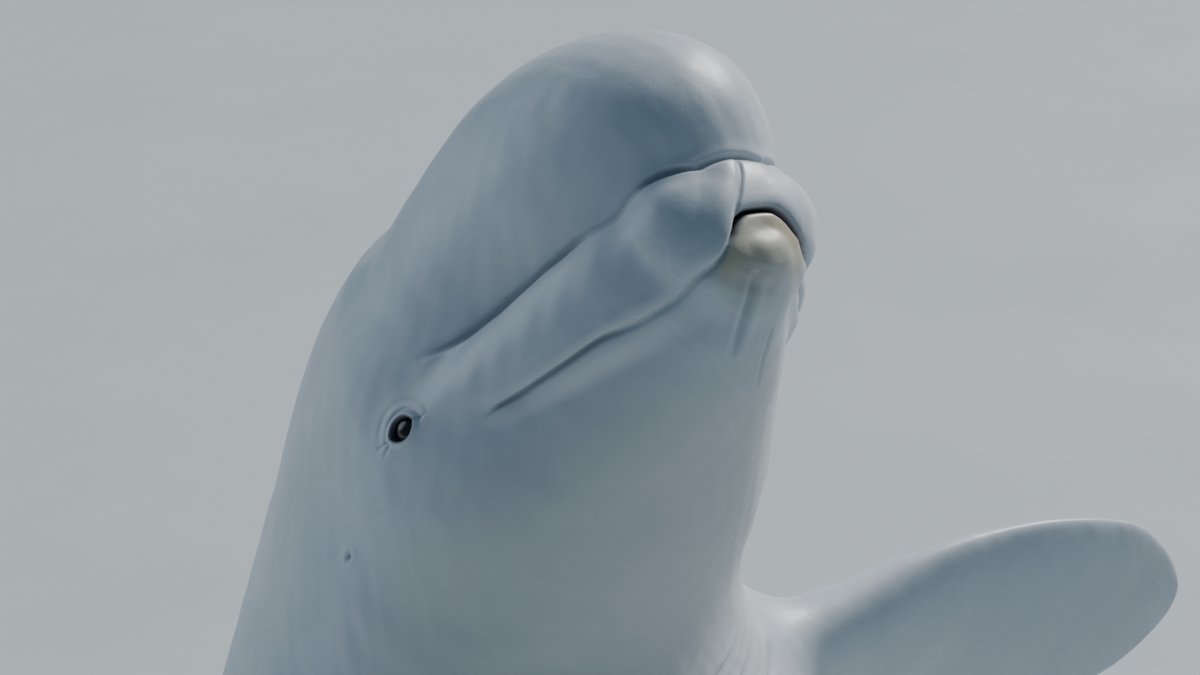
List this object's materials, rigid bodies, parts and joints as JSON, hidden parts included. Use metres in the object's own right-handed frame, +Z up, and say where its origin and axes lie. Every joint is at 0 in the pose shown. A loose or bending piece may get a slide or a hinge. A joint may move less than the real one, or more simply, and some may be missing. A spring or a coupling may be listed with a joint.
{
  "type": "beluga whale",
  "caption": "Life-size adult beluga whale rising upright to look out, head tipped forward and turned, flippers spread, held on a flat base by rods.",
  "frame": {"origin": "centre of the underside of the stand's base", "axes": "+Z up, the belly faces -Y, the whale's left flipper points to +X"},
  "size_m": [1.6467, 2.1629, 3.5918],
  "materials": {
    "skin": "smooth, moist, pale blue-grey skin with a soft sheen",
    "jaw_skin": "smooth pale skin, creamy at the tip of the jaw",
    "fin_skin": "smooth pale skin, greyer along the thin edges",
    "eye": "wet, very dark brown",
    "stand_steel": "brushed",
    "stand_paint": "satin powder coat"
  },
  "bodies": {
    "root": {"head": "skin", "melon": "skin", "neck": "skin", "chest": "skin", "torso": "skin", "abdomen": "skin", "tail_stock": "skin", "lower_jaw": "jaw_skin", "flipper_left": "fin_skin", "flipper_right": "fin_skin", "fluke_left": "fin_skin", "fluke_right": "fin_skin", "dorsal_ridge": "fin_skin", "eye_left": "eye", "eye_right": "eye", "stand_base": "stand_paint", "stand_rod_front": "stand_steel", "stand_rod_rear": "stand_steel"}
  },
  "joints": []
}
